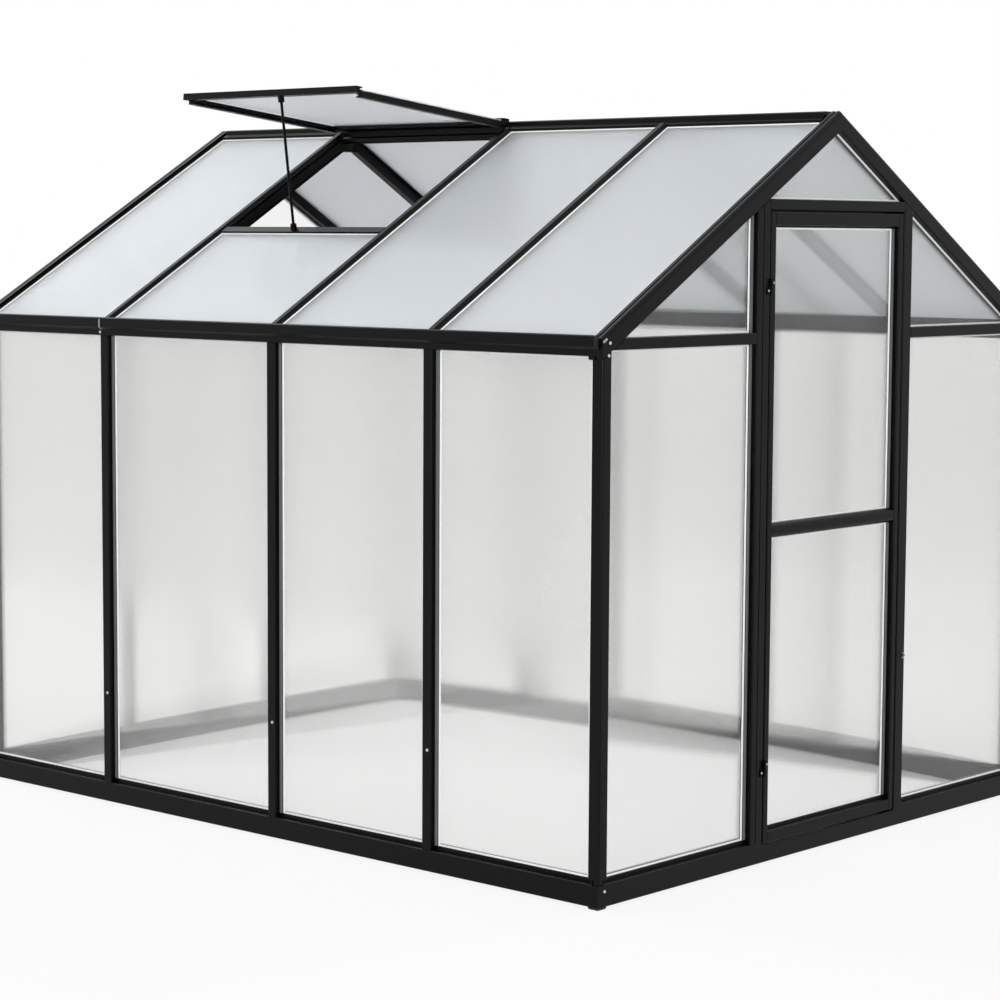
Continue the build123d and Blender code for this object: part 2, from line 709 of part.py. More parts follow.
door_ledge = door_low_face + shoulder_rise
door_low_top = door_ledge + door_low_lip
low_section = outline((0, 0), (0, door_low_face), (lip_out, door_ledge), (lip_out, door_low_top),
                      (slot_out, door_low_top), (slot_out, door_low_top - slot_deep),
                      (slot_in, door_low_top - slot_deep), (slot_in, door_low_top),
                      (door_depth, door_low_top), (door_depth, 0))
low_section = rounded(low_section, [(0, 0), (0, door_low_face)], edge_round)
mid_deep = door_mid_face - slot_deep
mid_section = outline((0, 0), (slot_out, 0), (slot_out, slot_deep), (slot_in, slot_deep), (slot_in, 0),
                      (door_depth, 0), (door_depth, door_mid_face), (slot_in, door_mid_face),
                      (slot_in, mid_deep), (slot_out, mid_deep), (slot_out, door_mid_face),
                      (0, door_mid_face))
mid_section = rounded(mid_section, [(0, 0), (0, door_mid_face)], door_mid_round)
top_section = outline((0, door_top_lip), (lip_out, door_top_lip), (lip_out, 0), (slot_out, 0),
                      (slot_out, slot_deep), (slot_in, slot_deep), (slot_in, 0), (door_depth, 0),
                      (door_depth, door_top_face), (0, door_top_face))
top_section = rounded(top_section, [(0, door_top_lip), (0, door_top_face)], edge_round)
top_rail_low = leaf_high - door_top_face
door_low = door_rail(low_section, leaf_low)
door_mid = door_rail(mid_section, door_mid_height)
door_top = door_rail(top_section, top_rail_low)
door_pane_half = leaf_half - stile_lip + bite


def door_pane(low, high):
    """Door pane that stands in its lower groove."""
    return block(-door_pane_half, door_pane_half, pane_set - end, pane_set + pane - end,
                 low - slot_deep + fit, high + bite)


# Hinges: a pin on the jamb leaf, a sleeve on the door leaf
axis_x = (-doorway / 2 - leaf_half) / 2
axis_y = -end - hinge_out


def hinge_leaf(side, low, high):
    """Barrel and plate on one side of the hinge line."""
    barrel = extrude(Pos(axis_x, axis_y, low) * Circle(hinge_radius), amount=high - low)
    edge = axis_x + side * hinge_plate
    plate = block(min(axis_x, edge), max(axis_x, edge), -end - hinge_plate_thick, -end - fit, low, high)
    web = block(min(axis_x, axis_x + side * hinge_radius), max(axis_x, axis_x + side * hinge_radius),
                axis_y, -end - fit, low, high)
    return barrel + plate + web


hinges_jamb = []
hinges_door = []
for z in (hinge_low, hinge_high):
    pin = extrude(Pos(axis_x, axis_y, z - hinge_half) * Circle(hinge_pin), amount=2 * hinge_half - spare)
    hinges_jamb.append(hinge_leaf(-1, z - hinge_half, z - fit) + pin)
    sleeve = extrude(Pos(axis_x, axis_y, z) * Circle(hinge_pin + fit), amount=hinge_half)
    hinges_door.append(hinge_leaf(1, z + fit, z + hinge_half) - sleeve)

os.makedirs("parts", exist_ok=True)
write("base_rail_left", [base_left])
write("base_rail_right", mirrored([base_left], Plane.YZ))
write("base_rail_front", [base_front])
write("base_rail_back", [base_back])
write("corner_feet", feet)
write("corner_post_front_left", [corner])
write("corner_post_front_right", mirrored([corner], Plane.YZ))
write("corner_post_back_left", mirrored([corner], Plane.XZ))
write("corner_post_back_right", mirrored(mirrored([corner], Plane.XZ), Plane.YZ))
write("side_posts_left", posts_left)
write("side_posts_right", mirrored(posts_left, Plane.YZ))
write("head_rail_left", [head_left])
write("head_rail_right", mirrored([head_left], Plane.YZ))
write("eave_gutter_left", [gutter_left])
write("eave_gutter_right", mirrored([gutter_left], Plane.YZ))
write("gutter_end_caps", gutter_caps)
write("verge_front_left", [verge_left])
write("verge_front_right", mirrored([verge_left], Plane.YZ))
write("verge_back_left", mirrored([verge_left], Plane.XZ))
write("verge_back_right", mirrored(mirrored([verge_left], Plane.XZ), Plane.YZ))
write("roof_bars_left", bars_left)
write("roof_bars_right", mirrored(bars_left, Plane.YZ))
write("ridge_beam", [ridge])
write("door_post_left", [jamb_left])
write("door_post_right", [jamb_right])
write("door_head", [lintel])
write("front_transoms", [transom_left, transom_right])
write("back_posts", mirrored(back_posts, Plane.XZ))
write("back_transom", mirrored([back_transom], Plane.XZ))
write("wall_panes_left", wall_panes)
write("wall_panes_right", mirrored(wall_panes, Plane.YZ))
write("front_gable_panes", front_panes)
write("back_gable_panes", mirrored(back_panes, Plane.XZ))
write("roof_panes_left", roof_left)
write("roof_panes_right", roof_right)
write("vent_sill", [sill])
write("vent_hinge_rail", [top_rail])
write("vent_side_rails", [side_near, side_far])
write("vent_bottom_rail", [low_rail])
write("vent_pane", [vent_pane])
write("vent_stay_lugs", [lug_low, lug_high])
write("vent_stay", [rod])
write("door_stiles", [stile_left, mirror(stile_left, about=Plane.YZ)])
write("door_bottom_rail", [door_low])
write("door_mid_rail", [door_mid])
write("door_top_rail", [door_top])
write("door_pane_lower", [door_pane(leaf_low + door_low_top, door_mid_height)])
write("door_pane_upper", [door_pane(door_mid_height + door_mid_face, top_rail_low)])
write("hinge_leaves_jamb", hinges_jamb)
write("hinge_leaves_door", hinges_door)
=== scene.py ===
"""Looks of the walk-in greenhouse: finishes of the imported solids, seals, beads, screws and small fittings."""
import logging
import math
from contextlib import contextmanager
from dataclasses import dataclass
from enum import Enum
from typing import Any, Callable, Iterator, Optional, Union

import bmesh
import bpy
from mathutils import Matrix, Vector


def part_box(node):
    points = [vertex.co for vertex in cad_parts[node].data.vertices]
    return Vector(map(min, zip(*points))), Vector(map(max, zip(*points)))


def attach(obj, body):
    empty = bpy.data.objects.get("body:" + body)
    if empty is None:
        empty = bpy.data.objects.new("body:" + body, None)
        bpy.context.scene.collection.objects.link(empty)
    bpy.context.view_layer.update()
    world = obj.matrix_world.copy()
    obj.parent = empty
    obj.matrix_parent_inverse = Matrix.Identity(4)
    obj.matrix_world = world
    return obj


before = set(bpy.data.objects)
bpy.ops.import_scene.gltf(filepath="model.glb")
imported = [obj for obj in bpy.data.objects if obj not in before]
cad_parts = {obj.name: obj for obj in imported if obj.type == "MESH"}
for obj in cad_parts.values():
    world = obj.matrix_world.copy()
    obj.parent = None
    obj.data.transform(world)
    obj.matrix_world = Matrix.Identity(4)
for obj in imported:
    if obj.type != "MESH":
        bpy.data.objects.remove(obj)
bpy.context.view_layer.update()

LOG = logging.getLogger("greenhouse")
Colour = tuple[float, float, float]
Point = tuple[float, float, float]
Outline = list[tuple[float, float]]

# Points closer than this are the same place, in metres
TOUCH = 1e-5
# A normal with this much of an axis lies along it
FACING = 0.99
# Steps of a rounded edge
ROUND_STEPS = 2
# Faces that meet at less than this are shaded as one
SMOOTH_ANGLE = math.radians(35)
# A wave texture of scale 1 turns by this many radians a metre
WAVE_TURN = 20.0


class Body(Enum):
    """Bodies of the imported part."""

    STRUCTURE = "structure"
    DOOR = "door"


class Slot(Enum):
    """Material slots of the record."""

    FRAME = "frame"
    GLAZING = "glazing"
    FITTING = "fitting"


class Axis(Enum):
    """Axes of the frame, by their place in a corner."""

    X = 0
    Y = 1
    Z = 2


class Select(Enum):
    """What is selected in edit mode."""

    FACE = "FACE"
    EDGE = "EDGE"


class FluteAxis(Enum):
    """Axis that runs across the flutes of a sheet."""

    X = "X"
    Y = "Y"


class Value:
    """One output socket; arithmetic on it adds Math nodes to its tree."""

    def __init__(self, bench: "NodeBench", socket: bpy.types.NodeSocket) -> None:
        """Keeps the tree and the socket."""
        self.bench = bench
        self.socket = socket

    def _math(self, operation: str, first: "Term", second: "Term") -> "Value":
        """Result of one new Math node."""
        return self.bench.node("ShaderNodeMath", {"operation": operation}, {0: first, 1: second}, "Value")

    def __add__(self, other: "Term") -> "Value":
        """Sum with a number or value."""
        return self._math("ADD", self, other)

    def __radd__(self, other: "Term") -> "Value":
        """Sum with a number on the left."""
        return self._math("ADD", other, self)

    def __sub__(self, other: "Term") -> "Value":
        """Difference from this value."""
        return self._math("SUBTRACT", self, other)

    def __rsub__(self, other: "Term") -> "Value":
        """Difference from a number on the left."""
        return self._math("SUBTRACT", other, self)

    def __mul__(self, other: "Term") -> "Value":
        """Product with a number or value."""
        return self._math("MULTIPLY", self, other)

    def __rmul__(self, other: "Term") -> "Value":
        """Product with a number on the left."""
        return self._math("MULTIPLY", other, self)

    def larger(self, other: "Term") -> "Value":
        """The larger of this and another value."""
        return self._math("MAXIMUM", self, other)


Term = Union[Value, float]


class NodeBench:
    """Node tree of one material or world, with one method that adds any node."""

    def __init__(self, tree: bpy.types.NodeTree) -> None:
        """Starts from an empty tree."""
        self.tree = tree
        tree.nodes.clear()

    def node(self, kind: str, settings: dict[str, Any], inputs: dict[Any, Any], out: str) -> Value:
        """Adds a node, sets it up, then fills its sockets.

        Args:
            kind: Node type.
            settings: Attributes that are set first.
            inputs: Socket name or number to a constant or a value.
            out: Name of the output to hand back.

        Returns:
            The chosen output.
        """
        made = self.tree.nodes.new(kind)
        for name, setting in settings.items():
            setattr(made, name, setting)
        for name, term in inputs.items():
            socket = made.inputs[name] if isinstance(name, int) else self._open(made.inputs, name)
            if isinstance(term, Value):
                self.tree.links.new(term.socket, socket)
            else:
                socket.default_value = term
        return Value(self, self._open(made.outputs, out))

    @staticmethod
    def _open(sockets: Any, name: str) -> bpy.types.NodeSocket:
        """The enabled socket of a name."""
        return next(socket for socket in sockets if socket.name == name and socket.enabled)

    def coordinates(self) -> Value:
        """Object coordinates, in metres."""
        return self.node("ShaderNodeTexCoord", {}, {}, "Object")

    def noise(self, place: Value, scale: float, detail: float = 2.0) -> Value:
        """Noise between 0 and 1 at a scale."""
        return self.node("ShaderNodeTexNoise", {}, {"Vector": place, "Scale": scale, "Detail": detail}, "Fac")

    def blend(self, factor: Term, first: Colour, second: Colour) -> Value:
        """Colour between two colours."""
        sockets = {"Factor": factor, "A": (*first, 1.0), "B": (*second, 1.0)}
        return self.node("ShaderNodeMix", {"data_type": "RGBA"}, sockets, "Result")

    def bump(self, height: Value, distance: float) -> Value:
        """Normal of a surface with this height, in metres of relief."""
        sockets = {"Height": height, "Distance": distance, "Strength": 1.0}
        return self.node("ShaderNodeBump", {}, sockets, "Normal")

    def surface(self, shader: Value, kind: str = "ShaderNodeOutputMaterial") -> None:
        """Joins a shader to the tree's output."""
        made = self.tree.nodes.new(kind)
        self.tree.links.new(shader.socket, made.inputs["Surface"])


@dataclass(frozen=True)
class Finish:
    """Shared part of every finish: a named material from a node tree."""

    name: str

    def material(self) -> bpy.types.Material:
        """Builds the material once.

        Returns:
            The new material, or the one that is there.
        """
        ready = bpy.data.materials.get(self.name)
        if ready is not None:
            return ready
        made = bpy.data.materials.new(self.name)
        made.use_nodes = True
        bench = NodeBench(made.node_tree)
        sockets = self.sockets(bench, bench.coordinates())
        bench.surface(bench.node("ShaderNodeBsdfPrincipled", {}, sockets, "BSDF"))
        return made

    def sockets(self, bench: NodeBench, place: Value) -> dict[str, Any]:
        """Inputs of the surface shader.

        Args:
            bench: Tree to add nodes to.
            place: Object coordinates.

        Returns:
            Socket names with constants or values.
        """
        raise NotImplementedError


@dataclass(frozen=True)
class PowderCoat(Finish):
    """Satin powder coat on extrusions: faint orange peel, mottled gloss and a trace of dust."""

    deep: Colour = (0.0010, 0.0011, 0.0012)
    pale: Colour = (0.0022, 0.0023, 0.0024)
    roughness: float = 0.33
    spread: float = 0.10
    specular: float = 0.12
    mottle_scale: float = 6.0
    grain_scale: float = 900.0
    grain_share: float = 0.2
    peel_scale: float = 420.0
    peel_height: float = 0.00006

    def sockets(self, bench: NodeBench, place: Value) -> dict[str, Any]:
        """Inputs of the coat's shader.

        Args:
            bench: Tree to add nodes to.
            place: Object coordinates.

        Returns:
            Socket names with constants or values.
        """
        mottle = bench.noise(place, self.mottle_scale, detail=4.0)
        grain = bench.noise(place, self.grain_scale)
        peel = bench.noise(place, self.peel_scale)
        dust = mottle * (1 - self.grain_share) + grain * self.grain_share
        return {
            "Base Color": bench.blend(dust, self.deep, self.pale),
            "Roughness": self.roughness - self.spread / 2 + self.spread * mottle,
            "Specular IOR Level": self.specular,
            "Normal": bench.bump(peel, self.peel_height),
        }


@dataclass(frozen=True)
class MilkySheet(Finish):
    """Opal fluted sheet: haze that changes from the foot to the top, a colour that darkens towards the top as
    painted shade, and flutes that smear what is behind.
    """

    # Sheet colour at the foot and at the top; the darker top colour is painted shade, and the level of each
    # copy is painted light
    foot_tint_and_painted_light: Colour = (0.985, 0.987, 0.975)
    top_tint_and_painted_shade: Colour = (0.925, 0.93, 0.92)
    across: FluteAxis = FluteAxis.Y
    clear: float = 0.92
    haze: float = 0.05
    frosting: float = 0.03
    # Heights where the haze and the painted shade of the colour start and end
    haze_and_shade_foot: float = 0.55
    haze_and_shade_top: float = 1.32
    bend: float = 1.33
    pitch: float = 0.002
    swell: float = 0.00010
    drift_scale: float = 1.6
    drift_share: float = 0.2
    unevenness: float = 0.3

    def sockets(self, bench: NodeBench, place: Value) -> dict[str, Any]:
        """Inputs of the sheet's shader.

        Args:
            bench: Tree to add nodes to.
            place: Object coordinates.

        Returns:
            Socket names with constants or values.
        """
        drift = bench.noise(place, self.drift_scale)
        height = bench.node("ShaderNodeSeparateXYZ", {}, {"Vector": place}, "Z")
        ramp = {"Value": height, "From Min": self.haze_and_shade_foot, "From Max": self.haze_and_shade_top}
        upper = bench.node("ShaderNodeMapRange", {"interpolation_type": "SMOOTHSTEP"}, ramp, "Result")
        haze = self.haze - (self.haze - self.frosting) * upper
        return {
            # Colour darkens from the foot to the top as painted shade, with random drift
            "Base Color": bench.blend(upper * (1 - self.drift_share) + drift * self.drift_share,
                                      self.foot_tint_and_painted_light, self.top_tint_and_painted_shade),
            "Roughness": haze * (1 - self.unevenness / 2 + self.unevenness * drift),
            "Transmission Weight": self.clear,
            "IOR": self.bend,
            "Normal": bench.bump(self.flutes(bench, place), self.swell),
        }

    def flutes(self, bench: NodeBench, place: Value) -> Value:
        """Height of the flutes, a parabola across each, 0 in its middle and 1 at its edges.

        Args:
            bench: Tree to add nodes to.
            place: Object coordinates.

        Returns:
            The height as a share of the swell.
        """
        settings = {"wave_type": "BANDS", "bands_direction": self.across.value, "wave_profile": "SAW"}
        wave_scale = 2 * math.pi / (WAVE_TURN * self.pitch)
        step = bench.node("ShaderNodeTexWave", settings, {"Vector": place, "Scale": wave_scale}, "Fac")
        middle = 0.5
        return (step - middle) * (step - middle) * (1 / middle ** 2)


@dataclass(frozen=True)
class SealRubber(Finish):
    """Rubber of seals, beads and straps, matt and a little chalky."""

    deep: Colour = (0.10, 0.104, 0.106)
    pale: Colour = (0.17, 0.175, 0.178)
    roughness: float = 0.55
    spread: float = 0.15
    specular: float = 0.3
    chalk_scale: float = 14.0
    grain_scale: float = 1500.0
    grain_share: float = 0.3
    grain_height: float = 0.00004

    def sockets(self, bench: NodeBench, place: Value) -> dict[str, Any]:
        """Inputs of the rubber's shader.

        Args:
            bench: Tree to add nodes to.
            place: Object coordinates.

        Returns:
            Socket names with constants or values.
        """
        chalk = bench.noise(place, self.chalk_scale, detail=4.0)
        grain = bench.noise(place, self.grain_scale)
        bloom = chalk * (1 - self.grain_share) + grain * self.grain_share
        return {
            "Base Color": bench.blend(bloom, self.deep, self.pale),
            "Roughness": self.roughness + self.spread * chalk,
            "Specular IOR Level": self.specular,
            "Normal": bench.bump(grain, self.grain_height),
        }


@dataclass(frozen=True)
class BrightSteel(Finish):
    """Zinc-plated steel of screws, spangled and finely scratched."""

    deep: Colour = (0.52, 0.53, 0.54)
    pale: Colour = (0.78, 0.78, 0.77)
    metal: float = 0.9
    roughness: float = 0.28
    spread: float = 0.18
    spangle_scale: float = 300.0
    scratch_scale: float = 2400.0
    scratch_height: float = 0.00002

    def sockets(self, bench: NodeBench, place: Value) -> dict[str, Any]:
        """Inputs of the plated steel's shader.

        Args:
            bench: Tree to add nodes to.
            place: Object coordinates.

        Returns:
            Socket names with constants or values.
        """
        spangle = bench.noise(place, self.spangle_scale, detail=3.0)
        scratch = bench.noise(place, self.scratch_scale, detail=1.0)
        return {
            "Base Color": bench.blend(spangle, self.deep, self.pale),
            "Metallic": self.metal,
            "Roughness": self.roughness + self.spread * spangle,
            "Normal": bench.bump(scratch, self.scratch_height),
        }


@dataclass(frozen=True)
class MouldedPlastic(Finish):
    """Matt black moulding with a spark-eroded grain."""

    deep: Colour = (0.008, 0.008, 0.008)
    pale: Colour = (0.016, 0.016, 0.016)
    roughness: float = 0.5
    spread: float = 0.2
    specular: float = 0.3
    wear_scale: float = 40.0
    grain_scale: float = 700.0
    grain_height: float = 0.00008

    def sockets(self, bench: NodeBench, place: Value) -> dict[str, Any]:
        """Inputs of the moulding's shader.

        Args:
            bench: Tree to add nodes to.
            place: Object coordinates.

        Returns:
            Socket names with constants or values.
        """
        grain = bench.noise(place, self.grain_scale, detail=3.0)
        wear = bench.noise(place, self.wear_scale, detail=3.0)
        return {
            "Base Color": bench.blend(wear, self.deep, self.pale),
            "Roughness": self.roughness + self.spread * grain,
            "Specular IOR Level": self.specular,
            "Normal": bench.bump(grain, self.grain_height),
        }


COAT = PowderCoat("powder_coat")
STEEL_COAT = PowderCoat("painted_steel", roughness=0.30, spread=0.08, specular=0.09, peel_scale=900.0)
# One sheet in four copies: the roof and vent copies are coloured darker and bluer than the walls and gables as
# painted shade and painted sky reflection
WALL_SHEET = MilkySheet("wall_sheet", top_tint_and_painted_shade=(0.955, 0.96, 0.95), haze=0.03, frosting=0.26,
                        haze_and_shade_foot=0.43, haze_and_shade_top=0.70)
ROOF_SHEET = MilkySheet("roof_sheet", foot_tint_and_painted_light=(0.835, 0.858, 0.877), top_tint_and_painted_shade=(0.815, 0.838, 0.86),
                        clear=0.77, haze=0.5, frosting=0.5)
VENT_SHEET = MilkySheet("vent_sheet", foot_tint_and_painted_light=(0.92, 0.935, 0.95), top_tint_and_painted_shade=(0.90, 0.92, 0.94),
                        haze=0.5, frosting=0.5)
GABLE_SHEET = MilkySheet("gable_sheet", foot_tint_and_painted_light=(0.97, 0.972, 0.96), top_tint_and_painted_shade=(0.94, 0.945, 0.935),
                         across=FluteAxis.X, clear=0.97)
RUBBER = SealRubber("seal_rubber")
PALE_SEAL = SealRubber("pale_seal", deep=(0.26, 0.265, 0.27), pale=(0.38, 0.385, 0.39))
WHITE_SEAL = SealRubber("white_seal", deep=(0.90, 0.905, 0.90), pale=(0.96, 0.96, 0.955))
ZINC = BrightSteel("zinc_plate")
MOULDING = MouldedPlastic("black_moulding")


def least(node: str, axis: Axis) -> float:
    """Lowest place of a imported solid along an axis."""
    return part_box(node)[0][axis.value]


def most(node: str, axis: Axis) -> float:
    """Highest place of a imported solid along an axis."""
    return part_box(node)[1][axis.value]


def rest() -> None:
    """Leaves nothing selected."""
    bpy.ops.object.select_all(action="DESELECT")


@contextmanager
def editing(piece: bpy.types.Object) -> Iterator[bmesh.types.BMesh]:
    """Edit mode on one piece, for its points, with nothing of it selected.

    Args:
        piece: The piece to work on.

    Returns:
        The mesh that is being edited.
    """
    rest()
    piece.select_set(True)
    bpy.context.view_layer.objects.active = piece
    bpy.ops.object.mode_set(mode="EDIT")
    bpy.ops.mesh.select_mode(type="VERT")
    bpy.ops.mesh.select_all(action="DESELECT")
    yield bmesh.from_edit_mesh(piece.data)
    bpy.ops.object.mode_set(mode="OBJECT")


def pick(mesh: bmesh.types.BMesh, piece: bpy.types.Object, test: Callable[[Any], bool],
         kind: Select = Select.FACE) -> None:
    """Selects the faces or edges that pass a test.

    Args:
        mesh: Mesh in edit mode.
        piece: Its object.
        test: What a face or an edge must fulfil.
        kind: Faces or edges.
    """
    bpy.ops.mesh.select_mode(type=kind.value)
    bpy.ops.mesh.select_all(action="DESELECT")
    for item in mesh.faces if kind is Select.FACE else mesh.edges:
        if test(item):
            item.select_set(True)
    mesh.select_flush_mode()
    bmesh.update_edit_mesh(piece.data)


def pull(step: Any) -> None:
    """Extrudes the selected faces or edges by a step."""
    bpy.ops.mesh.extrude_region_move(TRANSFORM_OT_translate={"value": step})


def draw(step: Any) -> None:
    """Extrudes the selected points by a step."""
    bpy.ops.mesh.extrude_vertices_move(TRANSFORM_OT_translate={"value": step})


def rounded(width: float, steps: int = ROUND_STEPS) -> None:
    """Rounds the selected edges."""
    bpy.ops.mesh.bevel(offset=width, segments=steps, affect="EDGES")


def everything() -> None:
    """Selects the whole mesh in edit mode."""
    bpy.ops.mesh.select_all(action="SELECT")


def settled(name: str) -> bpy.types.Object:
    """Names the new primitive and moves its place into its mesh.

    Args:
        name: Name of the piece.

    Returns:
        The primitive.
    """
    made = bpy.context.object
    made.name = name
    bpy.ops.object.transform_apply(location=True, rotation=True, scale=True)
    return made


def block(name: str, low: Point, high: Point) -> bpy.types.Object:
    """Box primitive between two corners, with its place in its mesh.

    Args:
        name: Name of the piece.
        low: Lowest corner.
        high: Highest corner.

    Returns:
        The new object.
    """
    rest()
    middle = (Vector(low) + Vector(high)) / 2
    bpy.ops.mesh.primitive_cube_add(size=1.0, location=middle, scale=Vector(high) - Vector(low))
    return settled(name)


def drum(name: str, radius: float, height: float, sides: int) -> bpy.types.Object:
    """Upright round primitive that stands on the origin.

    Args:
        name: Name of the piece.
        radius: Radius.
        height: Height.
        sides: Number of side faces.

    Returns:
        The new object.
    """
    rest()
    middle = (0.0, 0.0, height / 2)
    bpy.ops.mesh.primitive_cylinder_add(vertices=sides, radius=radius, depth=height, location=middle)
    return settled(name)


def card(name: str, at: Point, size: float) -> bpy.types.Object:
    """Small square primitive, the start of a bent outline.

    Args:
        name: Name of the piece.
        at: Its middle.
        size: Its side.

    Returns:
        The new object.
    """
    rest()
    bpy.ops.mesh.primitive_plane_add(size=size, location=at)
    return settled(name)


def thickened(piece: bpy.types.Object, thick: float) -> None:
    """Gives a bent sheet its thickness, half to each side.

    Args:
        piece: The sheet.
        thick: Its thickness.
    """
    shell = piece.modifiers.new("thickness", "SOLIDIFY")
    shell.thickness = thick
    shell.offset = 0.0
    bpy.ops.object.modifier_apply(modifier=shell.name)


def copied(piece: bpy.types.Object, place: Matrix) -> bpy.types.Object:
    """Copy of a piece with its own mesh at another place.

    Args:
        piece: The modelled piece.
        place: Where the copy goes.

    Returns:
        The copy.
    """
    mesh = piece.data.copy()
    mesh.transform(place)
    if place.determinant() < 0:
        mesh.flip_normals()
    made = bpy.data.objects.new(piece.name, mesh)
    bpy.context.scene.collection.objects.link(made)
    return made


def gathered(name: str, model: bpy.types.Object, places: list[Matrix]) -> bpy.types.Object:
    """Copies of one model at several places, as one piece; the model goes.

    Args:
        name: Name of the joined piece.
        model: The modelled piece.
        places: Where the copies go.

    Returns:
        The joined object.
    """
    made = [copied(model, place) for place in places]
    bpy.data.objects.remove(model)
    return joined(name, made)


def joined(name: str, pieces: list[bpy.types.Object]) -> bpy.types.Object:
    """One object from several.

    Args:
        name: Name of the joined piece.
        pieces: What to join.

    Returns:
        The joined object.
    """
    rest()
    for piece in pieces:
        piece.select_set(True)
    bpy.context.view_layer.objects.active = pieces[0]
    if len(pieces) > 1:
        bpy.ops.object.join()
    pieces[0].name = name
    return pieces[0]


def dressed(piece: bpy.types.Object, finish: Finish, body: Body) -> None:
    """Gives a new piece its shading, its finish in a material slot, and its body.

    Args:
        piece: The modelled piece.
        finish: Its finish.
        body: The body that carries it.
    """
    rest()
    piece.select_set(True)
    bpy.context.view_layer.objects.active = piece
    bpy.ops.object.shade_smooth_by_angle(angle=SMOOTH_ANGLE)
    piece.data.materials.clear()
    piece.data.materials.append(finish.material())
    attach(piece, body.value)
    LOG.info("%s: %d faces", piece.name, len(piece.data.polygons))


def turned(at: Point, towards: Point) -> Matrix:
    """Place whose local Z points a given way."""
    return Matrix.Translation(at) @ Vector(towards).to_track_quat("Z", "Y").to_matrix().to_4x4()


@dataclass
class Building:
    """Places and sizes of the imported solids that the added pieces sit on, in metres."""

    half: float = most("base_rail_right", Axis.X)
    end: float = most("base_rail_back", Axis.Y)
    inner_x: float = least("corner_post_back_right", Axis.X)
    inner_y: float = least("corner_post_back_right", Axis.Y)
    pane_x: float = most("wall_panes_right", Axis.X)
    pane_y: float = most("back_gable_panes", Axis.Y)
    base_top: float = most("base_rail_left", Axis.Z)
    head_low: float = least("head_rail_left", Axis.Z)
    transom_low: float = least("back_transom", Axis.Z)
    transom_top: float = most("back_transom", Axis.Z)
    gutter_x: float = most("eave_gutter_right", Axis.X)
    ridge_half: float = most("ridge_beam", Axis.X)
    ridge_low: float = least("ridge_beam", Axis.Z)
    ridge: float = most("ridge_beam", Axis.Z)
    slope: float = 30.5
    pitch: float = math.radians(slope)
    rise: float = math.tan(pitch)
    rafter: float = 0.044
    soffit: float = ridge - rafter / math.cos(pitch)
    post_half: float = 0.015
    lip_reach: float = 0.011
    lip_set: float = 0.016
    post_edge: float = post_half + lip_reach
    last_post: float = most("side_posts_left", Axis.Y) - post_edge
    window_lap: float = 0.010
    posts: tuple[float, ...] = (-last_post, least("vent_side_rails", Axis.Y) + window_lap, last_post)
    back_post: float = most("back_posts", Axis.X) - post_edge
    bar_half: float = most("roof_bars_left", Axis.Y) - last_post
    hinge_edge: float = -least("door_post_left", Axis.X)
    latch_edge: float = most("door_post_right", Axis.X)
    groove: float = 0.006
    door_glass: float = most("door_pane_lower", Axis.X) - groove
    door_low: tuple[float, float] = (most("door_bottom_rail", Axis.Z), least("door_mid_rail", Axis.Z))
    door_high: tuple[float, float] = (most("door_mid_rail", Axis.Z), least("door_top_rail", Axis.Z))
    lintel_top: float = most("door_head", Axis.Z)
    roof_set: float = 0.012
    roof_span: tuple[float, float] = (0.0419, 1.1003)
    window_bay: int = 2
    sill_foot: float = 0.613


@dataclass
class SolidFinishes:
    """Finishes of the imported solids."""

    walls: tuple[str, ...] = ("wall_panes_left", "wall_panes_right")
    roofs: tuple[str, ...] = ("roof_panes_left", "roof_panes_right")
    vents: tuple[str, ...] = ("vent_pane",)
    gables: tuple[str, ...] = ("front_gable_panes", "back_gable_panes", "door_pane_lower", "door_pane_upper")
    fittings: tuple[str, ...] = ("hinge_leaves_jamb", "hinge_leaves_door", "vent_stay", "vent_stay_lugs")
    feet: tuple[str, ...] = ("corner_feet", "gutter_end_caps")

    def finish_of(self, node: str) -> Finish:
        """Finish of a node, the powder coat unless its name is in a group."""
        groups = ((self.walls, WALL_SHEET), (self.roofs, ROOF_SHEET), (self.vents, VENT_SHEET),
                  (self.gables, GABLE_SHEET), (self.fittings, STEEL_COAT), (self.feet, MOULDING))
        return next((finish for names, finish in groups if node in names), COAT)

    def dress(self) -> None:
        """Puts a finish in every node's material slots."""
        for name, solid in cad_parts.items():
            material = self.finish_of(name).material()
            if not solid.material_slots:
                solid.data.materials.append(material)
            for holder in solid.material_slots:
                holder.material = material
            LOG.info("%s: %s", name, material.name)


